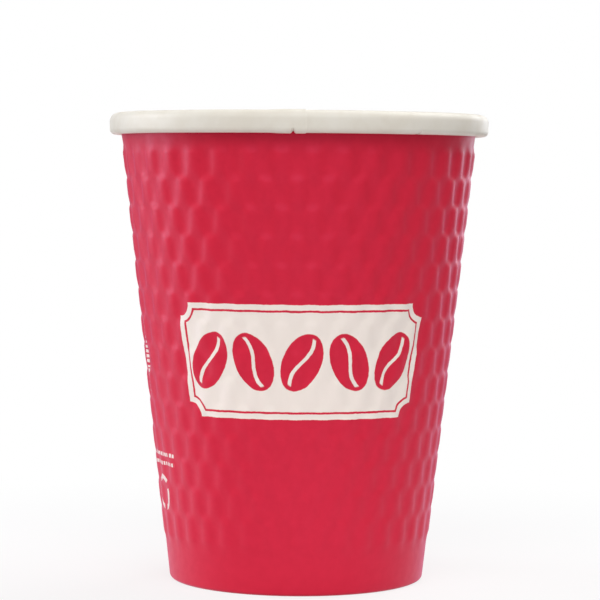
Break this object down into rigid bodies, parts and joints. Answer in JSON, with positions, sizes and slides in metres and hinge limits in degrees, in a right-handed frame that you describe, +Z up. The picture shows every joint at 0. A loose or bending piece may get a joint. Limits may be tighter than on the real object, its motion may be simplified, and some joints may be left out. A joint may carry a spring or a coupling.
{
  "type": "paper coffee cup",
  "caption": "Double-wall paper cup for hot drinks: white inner cup with a rolled rim, recessed base, and a red embossed outer sleeve.",
  "frame": {"origin": "centre of the foot on the table plane", "axes": "+Z up along the cup's axis, -Y towards the front of the print"},
  "size_m": [0.0896, 0.0898, 0.1104],
  "materials": {
    "inner_board": "warm white cup board, satin polymer coat on the drink side",
    "base_board": "warm white cup board, satin polymer coat on the drink side",
    "sleeve_print": "red print with a satin varnish on embossed board"
  },
  "bodies": {
    "root": {"cup_wall": "inner_board", "base_disc": "base_board", "outer_sleeve": "sleeve_print"}
  },
  "joints": []
}
